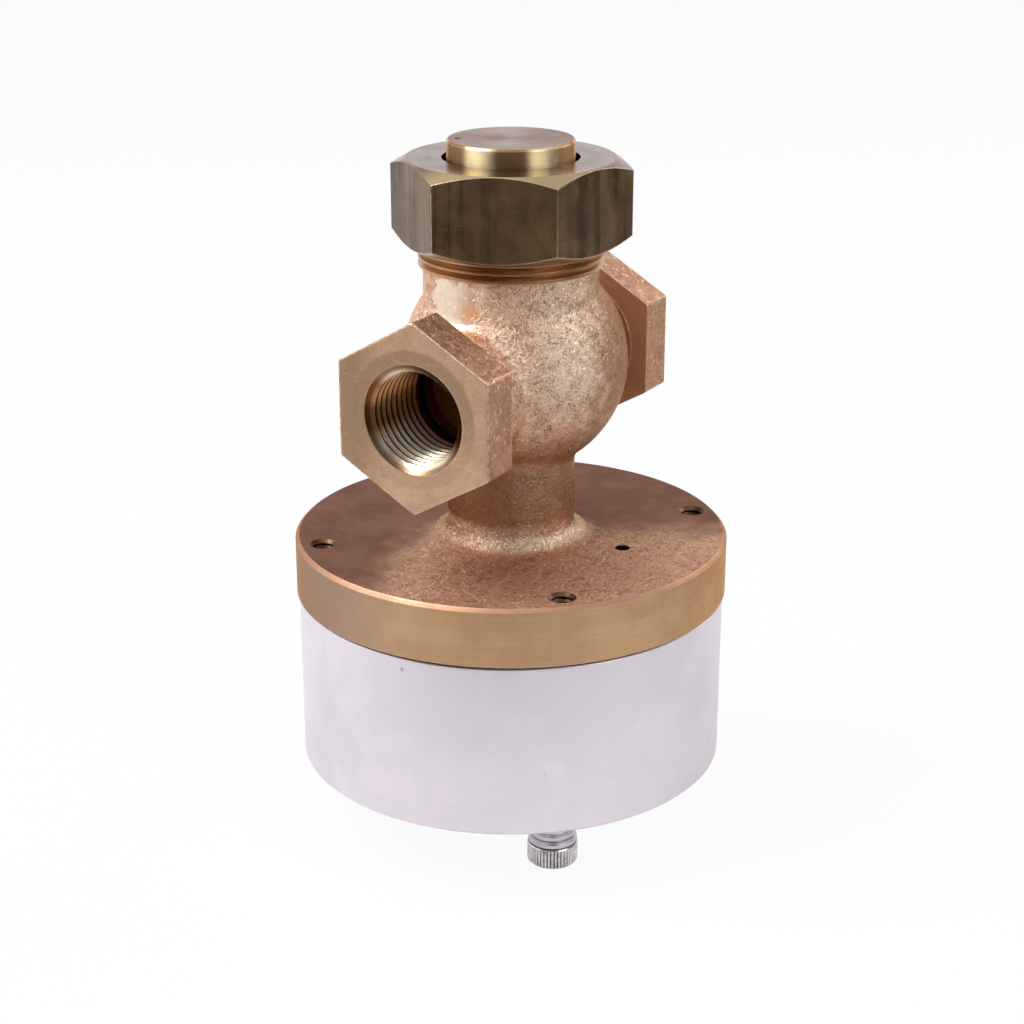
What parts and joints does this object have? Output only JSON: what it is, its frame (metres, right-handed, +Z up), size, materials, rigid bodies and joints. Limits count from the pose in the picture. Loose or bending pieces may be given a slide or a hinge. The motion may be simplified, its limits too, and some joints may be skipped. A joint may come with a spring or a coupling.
{
  "type": "air-operated blowdown valve",
  "caption": "Air-operated blowdown valve: cast globe body with two threaded ports, hexagon union nut and cap, round flange on an air cylinder with a knurled tube fitting.",
  "frame": {"origin": "on the port axis at the first thread of the inlet port, just inside its countersunk mouth", "axes": "+Z up along the stem from the air cylinder to the bonnet cap, +X from the inlet to the outlet, -X out of the inlet mouth"},
  "size_m": [0.0888, 0.0888, 0.1439],
  "materials": {
    "cast_bronze": "sand-cast bronze, coarse and satin, machined on the port faces and the flange",
    "machined_brass": "milled brass, satin",
    "turned_brass": "fine turned brass, bright",
    "inner_bronze": "turned bronze",
    "aluminium": "satin turned aluminium",
    "nickel_plate": "bright nickel plate",
    "stainless": "ground stainless steel",
    "screw_steel": "black oxide steel",
    "spring_steel": "drawn spring steel",
    "ptfe": "white filled fluoropolymer",
    "rubber": "black nitrile rubber",
    "fibre": "pressed fibre gasket sheet"
  },
  "bodies": {
    "housing": {"valve_body": "cast_bronze", "seat_ring": "stainless", "guide_bushing": "inner_bronze", "packing_rings": "ptfe", "packing_follower": "stainless", "packing_nut": "inner_bronze", "cylinder": "aluminium", "cylinder_gasket": "rubber", "cylinder_screws": "screw_steel", "fitting_body": "nickel_plate", "fitting_washer": "fibre", "bonnet_gasket": "fibre"},
    "stem_and_piston": {"stem": "stainless", "disc_washer": "stainless", "disc_seal": "ptfe", "disc_holder": "inner_bronze", "disc_nut": "stainless", "spring_seat": "stainless", "piston": "aluminium", "piston_seal": "rubber", "wear_ring": "ptfe", "piston_washer": "stainless", "piston_nut": "stainless", "return_spring": "spring_steel"},
    "bonnet": {"bonnet_cap": "turned_brass"},
    "union_nut": {"union_nut": "machined_brass"},
    "ferrule": {"ferrule": "inner_bronze"},
    "tube_nut": {"tube_nut": "nickel_plate"}
  },
  "joints": [
    {"name": "stem_lift", "type": "slide", "parent": "housing", "child": "stem_and_piston", "axis": [0, 0, 1], "range_m": [0, 0.007], "stiffness_N_per_m": 4000, "springref_m": -0.006, "deforming": ["return_spring"]},
    {"name": "bonnet_rise", "type": "slide", "parent": "housing", "child": "bonnet", "axis": [0, 0, 1], "range_m": [0, 0.00714]},
    {"name": "union_nut_turn", "type": "hinge", "parent": "bonnet", "child": "union_nut", "pos_m": [0.036, 0, 0.0352], "axis": [0, 0, 1], "range_deg": [0, 1620]},
    {"name": "ferrule_slide", "type": "slide", "parent": "housing", "child": "ferrule", "axis": [0, 0, -1], "range_m": [0, 0.00249]},
    {"name": "tube_nut_turn", "type": "hinge", "parent": "ferrule", "child": "tube_nut", "pos_m": [0.01842, -0.01983, -0.0945], "axis": [0, 0, -1], "range_deg": [0, 900]}
  ],
  "couplings": [
    {"joint": "union_nut_turn", "follows": "bonnet_rise", "rad_per_m": 3957.9},
    {"joint": "tube_nut_turn", "follows": "ferrule_slide", "rad_per_m": 6283.2}
  ]
}
